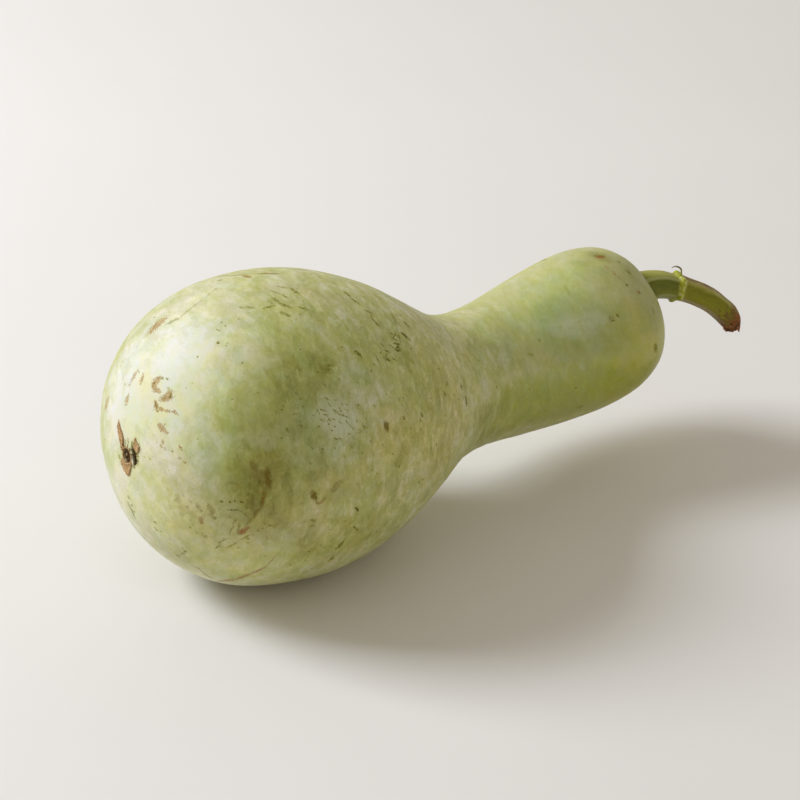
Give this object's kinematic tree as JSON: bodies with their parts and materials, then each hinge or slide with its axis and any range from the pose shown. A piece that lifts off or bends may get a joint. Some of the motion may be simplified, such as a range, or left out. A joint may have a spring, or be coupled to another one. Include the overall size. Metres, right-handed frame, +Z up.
{
  "type": "bottle gourd",
  "caption": "Fresh bottle gourd lying on its belly: a round bulb, a narrow waist and a swollen neck, with a short cut stalk curving down at the neck end and a dried flower scar at the bulb end.",
  "frame": {"origin": "centre of the bottom of the whole object's box, on the surface that the gourd rests on", "axes": "+X along the fruit from the flower scar towards the stalk, +Z up"},
  "size_m": [0.3528, 0.1498, 0.1478],
  "materials": {
    "gourd_skin": "smooth waxy skin, pale green mottled with lighter and darker green, small tan and brown scars, semi-matte",
    "green_stalk": "ridged green stalk, olive to yellow green, brown and ragged at the cut end",
    "withered_tendril": "thin dried tendril stub, yellow green going straw brown",
    "dried_flower": "dry corky flower remains, tan edges and a dark brown centre"
  },
  "bodies": {
    "root": {"gourd_fruit": "gourd_skin", "stalk": "green_stalk", "tendril_stub": "withered_tendril", "blossom_remnant": "dried_flower"}
  },
  "joints": []
}
